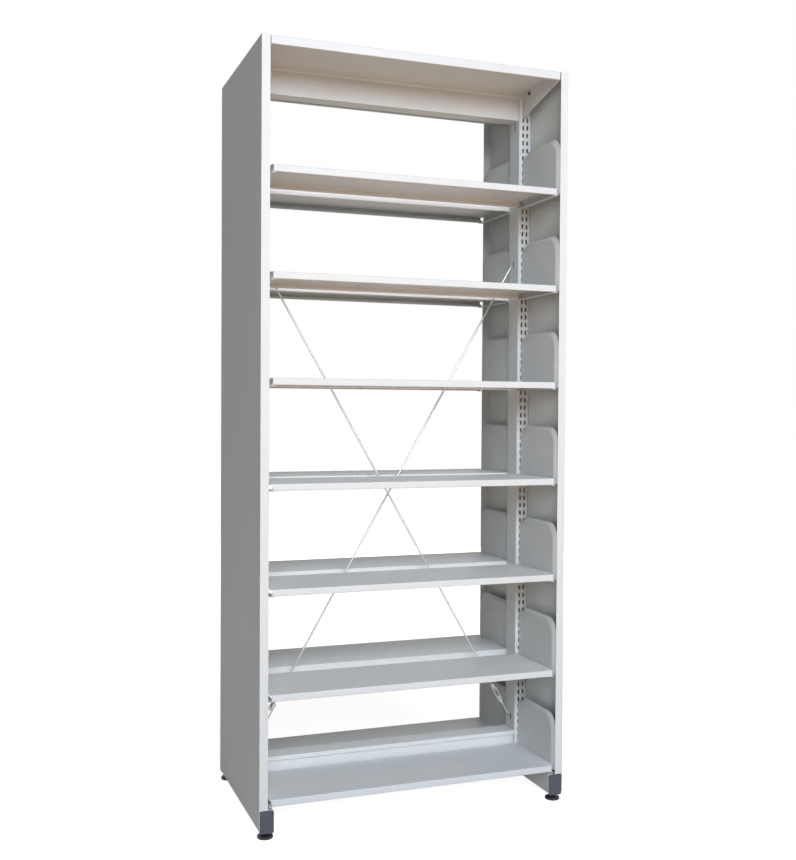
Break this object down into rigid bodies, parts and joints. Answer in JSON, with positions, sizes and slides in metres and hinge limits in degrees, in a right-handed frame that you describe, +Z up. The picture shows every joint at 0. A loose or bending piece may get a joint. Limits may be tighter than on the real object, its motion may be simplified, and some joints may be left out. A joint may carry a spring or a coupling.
{
  "type": "double sided library shelving",
  "caption": "Free-standing double sided bay of sheet steel shelves hung by hooked brackets on slotted uprights, with side panels, canopies, a cross brace and levelling feet.",
  "frame": {"origin": "on the floor, under the middle of the bay", "axes": "+Z up, +X to the right along the shelves, +Y to the rear; the front is -Y"},
  "size_m": [0.9704, 0.567, 2.272],
  "materials": {
    "powder_coat": "light grey-white powder coat, satin",
    "grey_plastic": "dark grey moulded end caps",
    "black_plastic": "black moulded levelling feet",
    "zinc": "zinc-plated rods and turnbuckles"
  },
  "bodies": {
    "frame": {"left_upright": "powder_coat", "left_side_panel": "powder_coat", "left_front_leg_cap": "grey_plastic", "left_rear_leg_cap": "grey_plastic", "left_top_brace_rod": "zinc", "left_brace_hook": "zinc", "right_upright": "powder_coat", "right_side_panel": "powder_coat", "right_front_leg_cap": "grey_plastic", "right_rear_leg_cap": "grey_plastic", "right_top_brace_rod": "zinc", "right_brace_hook": "zinc", "front_canopy": "powder_coat", "front_base_shelf": "powder_coat", "front_left_bracket_1": "powder_coat", "front_right_bracket_1": "powder_coat", "front_left_bracket_2": "powder_coat", "front_right_bracket_2": "powder_coat", "front_left_bracket_3": "powder_coat", "front_right_bracket_3": "powder_coat", "front_left_bracket_4": "powder_coat", "front_right_bracket_4": "powder_coat", "front_left_bracket_5": "powder_coat", "front_right_bracket_5": "powder_coat", "front_left_bracket_6": "powder_coat", "front_right_bracket_6": "powder_coat", "rear_canopy": "powder_coat", "rear_base_shelf": "powder_coat", "rear_left_bracket_1": "powder_coat", "rear_right_bracket_1": "powder_coat", "rear_left_bracket_2": "powder_coat", "rear_right_bracket_2": "powder_coat", "rear_left_bracket_3": "powder_coat", "rear_right_bracket_3": "powder_coat", "rear_left_bracket_4": "powder_coat", "rear_right_bracket_4": "powder_coat", "rear_left_bracket_5": "powder_coat", "rear_right_bracket_5": "powder_coat", "rear_left_bracket_6": "powder_coat", "rear_right_bracket_6": "powder_coat", "top_beam": "powder_coat", "bottom_beam": "powder_coat"},
    "left_front_foot": {"left_front_foot": "black_plastic"},
    "left_rear_foot": {"left_rear_foot": "black_plastic"},
    "right_front_foot": {"right_front_foot": "black_plastic"},
    "right_rear_foot": {"right_rear_foot": "black_plastic"},
    "front_shelf_1": {"front_shelf_1": "powder_coat"},
    "front_shelf_2": {"front_shelf_2": "powder_coat"},
    "front_shelf_3": {"front_shelf_3": "powder_coat"},
    "front_shelf_4": {"front_shelf_4": "powder_coat"},
    "front_shelf_5": {"front_shelf_5": "powder_coat"},
    "front_shelf_6": {"front_shelf_6": "powder_coat"},
    "rear_shelf_1": {"rear_shelf_1": "powder_coat"},
    "rear_shelf_2": {"rear_shelf_2": "powder_coat"},
    "rear_shelf_3": {"rear_shelf_3": "powder_coat"},
    "rear_shelf_4": {"rear_shelf_4": "powder_coat"},
    "rear_shelf_5": {"rear_shelf_5": "powder_coat"},
    "rear_shelf_6": {"rear_shelf_6": "powder_coat"},
    "left_turnbuckle": {"left_turnbuckle": "zinc"},
    "right_turnbuckle": {"right_turnbuckle": "zinc"}
  },
  "joints": [
    {"name": "front_shelf_1_lift", "type": "slide", "parent": "frame", "child": "front_shelf_1", "axis": [0, 0, 1], "range_m": [0, 0.15]},
    {"name": "front_shelf_2_lift", "type": "slide", "parent": "frame", "child": "front_shelf_2", "axis": [0, 0, 1], "range_m": [0, 0.15]},
    {"name": "front_shelf_3_lift", "type": "slide", "parent": "frame", "child": "front_shelf_3", "axis": [0, 0, 1], "range_m": [0, 0.15]},
    {"name": "front_shelf_4_lift", "type": "slide", "parent": "frame", "child": "front_shelf_4", "axis": [0, 0, 1], "range_m": [0, 0.15]},
    {"name": "front_shelf_5_lift", "type": "slide", "parent": "frame", "child": "front_shelf_5", "axis": [0, 0, 1], "range_m": [0, 0.15]},
    {"name": "front_shelf_6_lift", "type": "slide", "parent": "frame", "child": "front_shelf_6", "axis": [0, 0, 1], "range_m": [0, 0.15]},
    {"name": "rear_shelf_1_lift", "type": "slide", "parent": "frame", "child": "rear_shelf_1", "axis": [0, 0, 1], "range_m": [0, 0.15]},
    {"name": "rear_shelf_2_lift", "type": "slide", "parent": "frame", "child": "rear_shelf_2", "axis": [0, 0, 1], "range_m": [0, 0.15]},
    {"name": "rear_shelf_3_lift", "type": "slide", "parent": "frame", "child": "rear_shelf_3", "axis": [0, 0, 1], "range_m": [0, 0.15]},
    {"name": "rear_shelf_4_lift", "type": "slide", "parent": "frame", "child": "rear_shelf_4", "axis": [0, 0, 1], "range_m": [0, 0.15]},
    {"name": "rear_shelf_5_lift", "type": "slide", "parent": "frame", "child": "rear_shelf_5", "axis": [0, 0, 1], "range_m": [0, 0.15]},
    {"name": "rear_shelf_6_lift", "type": "slide", "parent": "frame", "child": "rear_shelf_6", "axis": [0, 0, 1], "range_m": [0, 0.15]},
    {"name": "left_front_foot_turn", "type": "hinge", "parent": "frame", "child": "left_front_foot", "pos_m": [-0.46225, -0.2605, 0.022], "axis": [0, 0, 1], "continuous": true},
    {"name": "left_rear_foot_turn", "type": "hinge", "parent": "frame", "child": "left_rear_foot", "pos_m": [-0.46225, 0.2605, 0.022], "axis": [0, 0, 1], "continuous": true},
    {"name": "right_front_foot_turn", "type": "hinge", "parent": "frame", "child": "right_front_foot", "pos_m": [0.46225, -0.2605, 0.022], "axis": [0, 0, 1], "continuous": true},
    {"name": "right_rear_foot_turn", "type": "hinge", "parent": "frame", "child": "right_rear_foot", "pos_m": [0.46225, 0.2605, 0.022], "axis": [0, 0, 1], "continuous": true},
    {"name": "left_turnbuckle_turn", "type": "hinge", "parent": "frame", "child": "left_turnbuckle", "pos_m": [-0.38995, 0.0037, 0.27759], "axis": [-0.5006, 0, -0.8657], "continuous": true},
    {"name": "right_turnbuckle_turn", "type": "hinge", "parent": "frame", "child": "right_turnbuckle", "pos_m": [0.38995, -0.0037, 0.27759], "axis": [0.5006, 0, -0.8657], "continuous": true}
  ]
}
